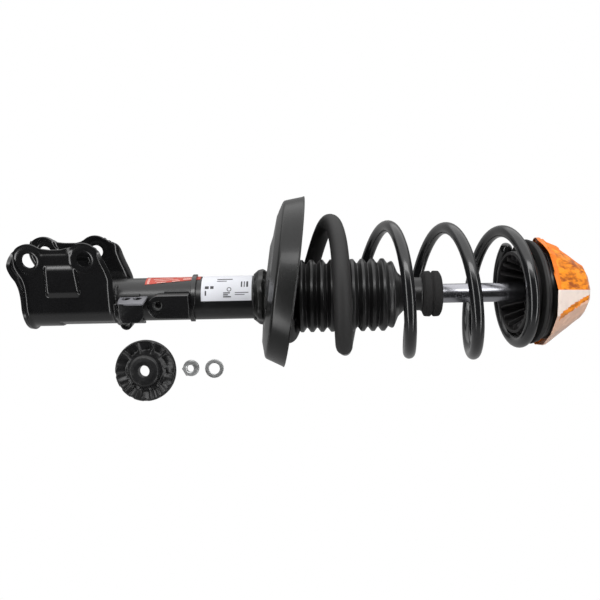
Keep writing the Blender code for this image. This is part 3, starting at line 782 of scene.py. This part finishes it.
def coil_centre(turn):
    """The wire's centre at a turn count: crowns at whole turns, near side at quarters."""
    angle = 2 * math.pi * turn
    flat = 0.10 * math.log1p(math.exp((turn - 3.15) / 0.10))
    pitch = COIL_PITCH if turn > 0 else DEAD_PITCH
    reach = COIL_CROWN + pitch * turn - (COIL_PITCH - END_PITCH) * flat
    up_share = max(0.0, min(1.0, turn / 3.2))
    lean_up = 9.6 * (1 - up_share)
    lean_near = 2.0 + 3.5 * up_share
    low_taper = 14.0 * bump_step(-turn, 0.3, 0.5)
    high_taper = 13.5 * (1 - math.cos(math.pi * max(0.0, min(1.0, (turn - 2.6) / 1.1)))) / 2
    radius = COIL_RADIUS - low_taper - high_taper
    rise = 1.5 + 9.9 * (1 - up_share) ** 2.2
    return Vector((reach + lean_up * math.cos(angle) + lean_near * math.sin(angle),
                   -radius * math.sin(angle),
                   rise + radius * math.cos(angle)))


def sweep(first, last, skins, sides=28, steps=72):
    """Tubes round the wire's path; each skin is a function of the station's share and turn."""
    bm = bmesh.new()
    count = round((last - first) * steps)
    turns = []
    layers = []
    for skin in skins:
        rows = []
        for index in range(count + 1):
            turn = first + (last - first) * index / count
            centre = coil_centre(turn)
            tangent = (coil_centre(turn + 0.001) - coil_centre(turn - 0.001)).normalized()
            outward = Vector((0, -math.sin(2 * math.pi * turn), math.cos(2 * math.pi * turn)))
            outward = (outward - tangent * outward.dot(tangent)).normalized()
            across = tangent.cross(outward)
            row = []
            for k in range(sides):
                angle = 2 * math.pi * k / sides
                size = skin(index / count, turn, angle)
                spoke = outward * math.cos(angle) + across * math.sin(angle)
                row.append(bm.verts.new(centre + spoke * size))
                turns.append(turn)
            rows.append(row)
        bridge(bm, rows)
        layers.append(rows)
    if len(layers) == 1:
        for row in (layers[0][0], layers[0][-1]):
            bm.faces.new(row)
    else:
        for end in (0, -1):
            for k in range(sides):
                after = (k + 1) % sides
                bm.faces.new((layers[0][end][k], layers[0][end][after], layers[1][end][after],
                              layers[1][end][k]))
    return bm, turns


def follow_coil(made):
    """Bake the wire's placement into its mesh."""
    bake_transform(made)


def spring():
    def wire(share, turn, angle):
        tip = min(share, 1 - share) * (COIL_END - COIL_START) * 2 * math.pi * COIL_RADIUS
        return WIRE * math.sqrt(max(0.03, 1 - max(0.0, 1 - tip / 5.0) ** 2))

    bm, turns = sweep(COIL_START, COIL_END, [wire])
    made = piece("spring_wire", bm, SPRING_PAINT, None, ["coil_spring"], sharp=50)
    follow_coil(made)

    def hose(share, turn, angle):
        soft = 0.12 * noise.noise(Vector((turn * 22, math.cos(angle), math.sin(angle))))
        lip = 0.35 * math.exp(-((1 - share) * 220) ** 2)
        return SLEEVE + soft - lip

    def bore(share, turn, angle):
        return WIRE + 0.3

    bm, turns = sweep(COIL_START, SLEEVE_END, [hose, bore])
    made = piece("spring_sleeve_hose", bm, HOSE, None, ["spring_sleeve"], sharp=50)
    follow_coil(made)


def isolator(place):
    """A rubber pad whose top climbs with the wire and steps down at its end."""
    inner, outer, floor = 45.6, 71.0, -20.0
    inverse = place.inverted()
    steps = 150
    bm = bmesh.new()
    rows = []
    for index in range(steps + 1):
        turn = COIL_START - 0.015 + 0.97 * index / steps
        wire = inverse @ coil_centre(min(turn, -0.27))
        top = min(max(wire.x - SLEEVE - 1.0, floor + 2.0), -6.0)
        side = Vector((0, -math.sin(2 * math.pi * turn), math.cos(2 * math.pi * turn)))
        outline = rounded([(floor, inner), (floor, outer), (top, outer), (top, inner)], 1.2, 3)
        rows.append([bm.verts.new(place @ (side * r + Vector((x, 0, 0)))) for x, r in outline])
    bridge(bm, rows)
    for row in (rows[0], rows[-1]):
        bm.faces.new(row)
    piece("seat_pad", bm, RUBBER, "strut_body", ["lower_isolator"])


def boot():
    """Bellows with round crests and tight valleys, a shoulder, a cone and a neck."""
    near = TUBE + 0.3
    wall = 1.5
    outer = [(BOOT_FIRST - 12, near + wall), (BOOT_FIRST - 6.5, near + wall, 1.5),
             (BOOT_FIRST - 4, VALLEY, 1.2)]
    for crest in range(BOOT_CRESTS):
        x = BOOT_FIRST + crest * BOOT_PITCH
        outer += [(x - 1.6, CREST - 0.4, 1.6), (x + 1.6, CREST - 0.4, 1.6), (x + BOOT_PITCH / 2, VALLEY, 1.0)]
    shoulder = outer[-1][0] + 5
    outer += [(shoulder, 36, 3), (102, 23.5, 5), (108, NECK + 0.4, 3), (125.5, NECK + 0.4, 0.8),
              (126.6, NECK + 1.2, 0.8),
              (127, NECK, 0.5)]
    inner = [(p[0], p[1] - wall, *p[2:]) for p in reversed(outer)]
    outline = rounded(outer + inner, 0.4, 4)
    made = piece("boot_bellows", lathe(outline, 128), BOOT, None, ["dust_boot"], sharp=60)
    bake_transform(made)


def bumper():
    outline = [(98, ROD + 0.3), (98, 17.5), (102, 18.3, 1.5), (105, 16), (109, 14.5), (127, 14.4),
               (127.3, 18, 1),
               (129.5, 23.6, 2), (135.5, 24, 1.5), (137.2, 21.5, 1.2), (139, 24, 1.5), (144.8, 23.8, 2.5),
               (147, 20, 2), (147, ROD + 0.3)]
    piece("bumper_foam_body", lathe(rounded(outline, 0.8, 5), 112), FOAM, "bumper", ["jounce_bumper"])


# -------------------------------------------------------------- upper assembly

def upper_seat():
    place = Matrix.Translation((UPPER_X, 0, 0)) @ Matrix.Rotation(UPPER_YAW, 4, "Z")
    flange = rounded([(-14, 39.3, 0.6), (-14, 42.3, 1.0), (-12.5, 42.6), (4.0, 42.6, 0.8), (4.0, 51.4, 0.5),
                      (3.2, 52.8, 1.0),
                      (5.2, 53.4, 1.2), (7.2, 52.8, 1.0), (7.2, 45, 1.5), (15.8, 43.4, 1),
                      (15.8, 39.3, 0.8)], 0.6, 5)
    ring = moved(lathe(flange, 160), place)
    floor = lathe(rounded([(244.5, 16), (244.5, 41), (249, 41), (249, 38), (251, 38), (251, 16)], 0.6, 4),
                  128)
    ribs = []
    for index in range(18):
        angle = 2 * math.pi * (index + 0.5) / 18
        web = rounded([(-12.5, 34.6, 0), (-12.5, 39.6), (12.6, 39.6), (12.6, 24), (9.5, 24, 3)], 1.0, 3)
        rib = prism(web, -0.8, 0.8, "Y", 0.3)
        rib.transform(place @ Matrix.Rotation(angle, 4, "X"))
        ribs.append(rib)
    inner = lathe(rounded([(238.5, 18.5), (238.5, 21, 0.8), (246.2, 21), (246.2, 18.5)], 0.4, 3), 96)
    piece("upper_seat_shell", join(ring, floor, inner, *ribs), NYLON, "upper_seat",
          ["upper_spring_seat"])
    pad = rounded([(0.3, 45), (0.3, 54.4, 1.4), (3.7, 54.4, 1.4), (3.7, 45)], 0.6, 5)
    piece("upper_seat_pad", moved(lathe(pad, 144), place), RUBBER, "upper_seat", ["upper_isolator"])


MOUNT = [(247.3, 49.0), (256, 49.0), (263, 44.5), (275, 36.8), (285, 29.2), (289, 25.0)]


def mount_radius(x):
    for (x0, r0), (x1, r1) in zip(MOUNT, MOUNT[1:]):
        if x <= x1:
            return r0 + (r1 - r0) * max(0.0, x - x0) / (x1 - x0)
    return 0.0


def mount_reach(x, spot):
    """The mount's radius towards a spot: cut off flat above a height that falls towards its rim."""
    lid = 44.0 - 6.5 * bump_step(x, 264, 16)
    up = spot.y / spot.length
    return min(mount_radius(x), lid / up) if up > 0.2 else mount_radius(x)


def top_mount():
    outline = rounded([(247.3, 46.5), (247.3, 49, 0.8), (252, 49.4, 1), (256, 49, 2), (263, 44.5, 3),
                       (275, 36.8, 3),
                       (285, 29.2, 2), (289, 25, 1.5), (289, 18, 1), (286, 18), (286, 24.5), (274, 34),
                       (262, 41.5), (256, 44.5), (254.7, 46.5)], 0.8, 5)

    def flutes(x, radius, angle):
        if radius < 20:
            return x, radius
        full = max(mount_radius(x), 1.0)
        size = radius * min(1.0, mount_reach(x, Vector((-math.sin(angle), math.cos(angle)))) / full)
        if x < 258:
            return x, size
        fade = bump_step(x, 261, 4) * (1 - bump_step(x, 281, 3))
        return x, size - 0.9 * max(0.0, math.cos(angle * 12)) ** 2 * fade

    piece("mount_plate", lathe(outline, 160, shape=flutes), SEAT_PAINT, "top_mount",
          ["mount_shell"])


def cover():
    """A creased film cap with flat facets, open over the far top side where the mount shows."""
    corners = [(57, 14), (53, -20), (40, -42), (11, -61), (-18, -53), (-40, -35), (-57, -11), (-55, 15),
               (-29, 46), (-8, 55.5), (22, 50), (42, 38)]
    rim = [0, 0, 0, 0, 0, 0, 0, 0, -3.5, -8.5, -4.0, 0]
    levels = [(251.2, 1.0, 0.0), (253.5, 0.985, 0.0), (262, 0.87, 0.15), (275, 0.70, 0.25), (285, 0.56, 0.25),
              (290, 0.50, 0.2), (294.5, 0.36, 0.15), (297, 0.22, 0.1), (298, 0.10, 0.0)]
    per_side = 14
    gap = 0.9                       # between the film and the mount under it
    seat_clear, seat_end = 55.8, 249.5   # least radius round the upper seat, and where it ends
    count = len(corners)
    bm = bmesh.new()
    rows = []
    for (x0, s0, b0), (x1, s1, b1) in zip(levels, levels[1:]):
        steps = max(1, round((x1 - x0) / 1.3))
        rows += [(x0 + (x1 - x0) * k / steps, s0 + (s1 - s0) * k / steps, b0 + (b1 - b0) * k / steps)
                 for k in range(steps)]
    rows.append(levels[-1])
    grid = []
    for x, scale, bulge in rows:
        row = []
        for index in range(count):
            a, b = Vector(corners[index]), Vector(corners[(index + 1) % count])
            for step in range(per_side):
                t = step / per_side
                flat = a.lerp(b, t)
                round_ = flat.normalized() * (a.length * (1 - t) + b.length * t)
                spot = flat.lerp(round_, bulge)
                crease = 1 + 0.014 * noise.noise(Vector((x * 0.07, spot.x * 0.06, spot.y * 0.06)))
                spot = spot * scale * crease
                back = (rim[index] * (1 - t) + rim[(index + 1) % count] * t) * max(0.0, (262 - x) / 10.8)
                least = max(mount_reach(x, spot) + gap, seat_clear if x + back < seat_end else 0)
                if spot.length < least:
                    spot = spot.normalized() * least
                row.append(bm.verts.new((x + back, spot.x, spot.y)))
        grid.append(row)
    bridge(bm, grid)
    bm.faces.new(grid[-1])
    open_faces = []
    for face in bm.faces:
        spot = face.calc_center_median()
        angle = math.degrees(math.atan2(-spot.y, spot.z)) % 360
        if (angle > 292 or angle < 12) and 265 < spot.x < 292:
            open_faces.append(face)
        edge = 101 - (spot.x - 252) * 0.36
        ragged = 2.5 * noise.noise(Vector((spot.x * 0.35, spot.y * 0.1, 3.1)))
        # painted glare: the facet facing the camera gets the whitish glare colour
        if 74 < angle < edge - 1 + 0.6 * ragged:
            face.material_index = 2
        elif edge - 1 <= angle < edge + 8 + ragged and 255 < spot.x < 293:
            face.material_index = 3
        # painted reflection: the near and lower facets get the pale colour
        elif 74 < angle < 185:
            face.material_index = 1
        elif 18 < angle <= 74 and spot.x > 255:
            face.material_index = 3
    bmesh.ops.delete(bm, geom=open_faces, context="FACES")
    bm = solve(bm, [], solidify=0.6)
    piece("cover_film", bm, [FILM, FILM_REFLECTION, FILM_GLARE, PRINT], "cover", ["protective_cover"], sharp=14)


# --------------------------------------------------------------- loose fittings

def stand(bm, x, y, radius, back):
    """Turn a piece spun round x so that it faces -y, lean it back, and stand it on the floor."""
    lift = radius * math.cos(LEAN_BACK) + back * math.sin(LEAN_BACK)
    return moved(bm, Matrix.Translation((x, y, lift + FLOOR)) @ Matrix.Rotation(-LEAN_BACK, 4, "X")
                 @ Matrix.Rotation(math.pi / 2, 4, "Z"))


def stopper():
    radius = 29.0
    outline = rounded([(-6, 5.3, 0.6), (-6.4, 9.0, 1.2), (-6, 12.8, 1.4), (-4.3, 14.6, 1.5), (0.5, 16.0, 1.5),
                       (2.2, 19.5, 2), (-0.5, radius - 1.4, 1.2), (1, radius - 0.1, 1), (4, radius - 0.1, 1),
                       (6, radius - 5, 2), (6, 17, 1), (3, 5.3, 0.6)], 0.8, 6)

    def petals(x, r, angle):
        lumps = 0.9 * noise.noise(Vector((math.cos(angle) * r * 0.22, math.sin(angle) * r * 0.22, 1.7)))
        if r < 15.6 or x > 2.6:
            return x + (0.3 * lumps if r < 15.6 and x < 0 else 0.0), r
        phase = (angle * 13 / (2 * math.pi)) % 1.0
        up = math.cos(angle)
        reach = bump_step(r, 17.0, 2.5) * (1 - bump_step(r, radius - 2.2, 2.4))
        pocket = 0.0
        for centre in (-0.60, 0.0, 0.60):
            away = abs(angle - centre) if angle < math.pi else abs(angle - 2 * math.pi - centre)
            pocket += 1 - bump_step(away, 0.24, 0.14)
        wave = bump_step(abs(phase - 0.5), 0.30, 0.16) * bump_step(-up, 0.55, 0.5)
        notch = 1.2 * bump_step(r, radius - 4, 3) * bump_step(-up, 0.1, 0.5)
        notch *= 1 - bump_step(abs(phase - 0.5), 0.10, 0.12)
        depth = reach * (2.6 * pocket + 2.2 * lumps - 2.4 * wave)
        return x + depth, r - notch + 0.8 * lumps * reach

    piece("stopper_body", stand(lathe(outline, 260, shape=petals), -144.4, -99.6, radius, 4.0), MOULDED,
          "stopper",
          ["stopper_plate"])


def nut_and_washer():
    flange = 8.4
    where = (-112.9, -39.5, flange, 4.0)
    skirt = rounded([(1.3, 4.0), (1.3, 7.4), (2.2, flange, 0.5), (4, flange - 0.1, 0.5), (4, 4.0)], 0.3, 4)
    base = lathe(skirt, 96)
    cone = lathe([(-8, 0), (-8, 4.3), (4.5, 17), (4.5, 0)], 96, closed=False)
    bore = lathe([(-9, 0), (-9, 4.7), (-4, 4.7), (-3.2, 3.7), (6, 3.7), (6, 0)], 72, closed=False)
    body = solve(prism(arc((0, 0), 7.2 / math.cos(math.pi / 6), 0, 300, 5), -4, 1.6, "X"),
                 [(cone, "INTERSECT"), (base, "UNION"), (bore, "DIFFERENCE")])
    piece("flange_nut", stand(body, *where), ZINC, "nut", ["lock_nut"], sharp=28)
    outline = rounded([(-1.1, 5.6), (-1.1, 9.5), (1.1, 9.5), (1.1, 5.6)], 0.45, 4)
    piece("washer_ring", stand(lathe(outline, 96), -88.1, -42.5, 9.5, 1.1), ZINC, "washer",
          ["flat_washer"])


# ----------------------------------------------------------- the frame's nodes

HIDDEN_FINISH = {
    "steel": STEEL, "chrome": CHROME, "zinc": ZINC, "rubber": RUBBER, "plastic": NYLON,
    "black_paint": SEAT_PAINT,
}


def dress_frame():
    """Give every carried-over node its procedural finish."""
    rows = {row["node"]: row["material_slot"] for row in frame["record"]["subparts"]}
    for name, node in frame["nodes"].items():
        made = HIDDEN_FINISH.get(rows.get(name))
        if made is None or not getattr(node, "data", None):
            continue
        if not node.material_slots:
            node.data.materials.append(made)
        for slot in node.material_slots:
            slot.material = made


# --------------------------------------------------------------- studio, camera

ABOVE, BELOW, FRONT, BACK, STRIP = 1.5, 0.40, 0.03, 0.35, 5.0   # the tent's brightness by direction


def link_math(nodes, links, operation, *values):
    """A Math node whose inputs are numbers or sockets."""
    made = nodes.new("ShaderNodeMath")
    made.operation = operation
    for index, value in enumerate(values):
        if isinstance(value, (int, float)):
            made.inputs[index].default_value = value
        else:
            links.new(value, made.inputs[index])
    return made.outputs[0]


def by_ray(nodes, links, seen, other, out):
    """One shader for the camera's own rays, and another for all the rest."""
    path, mix = nodes.new("ShaderNodeLightPath"), nodes.new("ShaderNodeMixShader")
    links.new(path.outputs["Is Camera Ray"], mix.inputs["Fac"])
    links.new(other.outputs[0], mix.inputs[1])
    links.new(seen.outputs[0], mix.inputs[2])
    links.new(mix.outputs[0], out.inputs["Surface"])


def floor_material():
    """White to the camera, and clear to everything else, so the floor casts no reflection."""
    made = bpy.data.materials.new("floor_white")
    made.use_nodes = True
    nodes, links = made.node_tree.nodes, made.node_tree.links
    nodes.clear()
    out = nodes.new("ShaderNodeOutputMaterial")
    seen, clear = nodes.new("ShaderNodeEmission"), nodes.new("ShaderNodeBsdfTransparent")
    by_ray(nodes, links, seen, clear, out)
    return made


def tent(nodes, links):
    """A light tent by direction: bright above, side strips, white below, dark in front."""
    place = nodes.new("ShaderNodeTexCoord")
    split = nodes.new("ShaderNodeSeparateXYZ")
    links.new(place.outputs["Generated"], split.inputs[0])
    x, y, z = split.outputs

    def calc(operation, *values):
        return link_math(nodes, links, operation, *values)

    def step(value, low, high, top=1.0):
        made = nodes.new("ShaderNodeMapRange")
        made.interpolation_type = "SMOOTHSTEP"
        made.inputs["From Min"].default_value = low
        made.inputs["From Max"].default_value = high
        made.inputs["To Max"].default_value = top
        links.new(value, made.inputs["Value"])
        return made.outputs["Result"]

    level = calc("SQRT", calc("ADD", calc("MULTIPLY", x, x), calc("ADD", calc("MULTIPLY", y, y), 0.0001)))
    side = calc("DIVIDE", calc("ABSOLUTE", x), level)
    strip = calc("MULTIPLY", step(side, 0.66, 0.72), calc("SUBTRACT", 1.0, step(side, 0.80, 0.86)))
    front = step(calc("MULTIPLY", y, -1.0), -0.1, 0.1)
    back = calc("SUBTRACT", 1.0, front)
    middle = calc("ADD", calc("MULTIPLY", calc("MULTIPLY", strip, front), STRIP),
                  calc("ADD", calc("MULTIPLY", back, BACK), FRONT))
    above, below = step(z, 0.42, 0.66), step(calc("MULTIPLY", z, -1.0), 0.55, 0.80)
    rest = calc("SUBTRACT", 1.0, calc("ADD", above, below))
    return calc("ADD", calc("MULTIPLY", middle, rest), calc("ADD", calc("MULTIPLY", above, ABOVE),
                                                            calc("MULTIPLY", below, BELOW)))


def area(name, spot, target, size, size_y, power):
    light = bpy.data.lights.new(name, "AREA")
    light.shape = "RECTANGLE"
    light.size, light.size_y = size, size_y
    light.energy = power
    made = put(name, light)
    made.location = spot
    made.rotation_euler = (Vector(target) - Vector(spot)).to_track_quat("-Z", "Y").to_euler()
    return made


def studio():
    scene = bpy.context.scene
    scene.view_settings.view_transform = "Standard"
    world = bpy.data.worlds.new("studio")
    scene.world = world
    world.use_nodes = True
    nodes, links = world.node_tree.nodes, world.node_tree.links
    nodes.clear()
    out = nodes.new("ShaderNodeOutputWorld")
    seen, lit = nodes.new("ShaderNodeBackground"), nodes.new("ShaderNodeBackground")
    seen.inputs["Color"].default_value = (1, 1, 1, 1)
    seen.inputs["Strength"].default_value = 1.0
    lit.inputs["Color"].default_value = (1, 1, 1, 1)
    links.new(tent(nodes, links), lit.inputs["Strength"])
    by_ray(nodes, links, seen, lit, out)

    bm = bmesh.new()
    bmesh.ops.create_circle(bm, cap_ends=True, segments=96, radius=30.0)
    mesh = bpy.data.meshes.new("floor")
    bm.to_mesh(mesh)
    bm.free()
    floor = put("floor", mesh)
    mesh.materials.append(floor_material())

    area("softbox_front", (0.0, -1.0, 1.25), (0.0, 0.0, 0.05), 1.8, 0.4, 9)


def camera():
    """The photograph's view: distance, elevation, azimuth and roll round a point on the strut."""
    distance, elevation, azimuth, roll = 0.76001, math.radians(14.46), math.radians(1.72), math.radians(-1.58)
    target = ORIGIN + Vector((0, 0, -4.12)) * MM
    back = Vector((math.sin(azimuth) * math.cos(elevation), -math.cos(azimuth) * math.cos(elevation),
                   math.sin(elevation)))
    right = (-back).cross(Vector((0, 0, 1))).normalized()
    up = right.cross(-back)
    level_right = math.cos(roll) * right + math.sin(roll) * up
    level_up = -math.sin(roll) * right + math.cos(roll) * up
    data = bpy.data.cameras.new("camera")
    data.sensor_width = 36.0
    data.lens = 43.25
    data.clip_start, data.clip_end = 0.01, 100.0
    made = put("camera", data)
    turn = Matrix((level_right, level_up, back)).transposed().to_4x4()
    made.matrix_world = Matrix.Translation(target + back * distance) @ turn
    bpy.context.scene.camera = made


dress_frame()
damper()
knuckle_bracket()
hose_bracket()
link_bracket()
labels()
lower_seat()
spring()
boot()
bumper()
upper_seat()
top_mount()
cover()
stopper()
nut_and_washer()
studio()
camera()
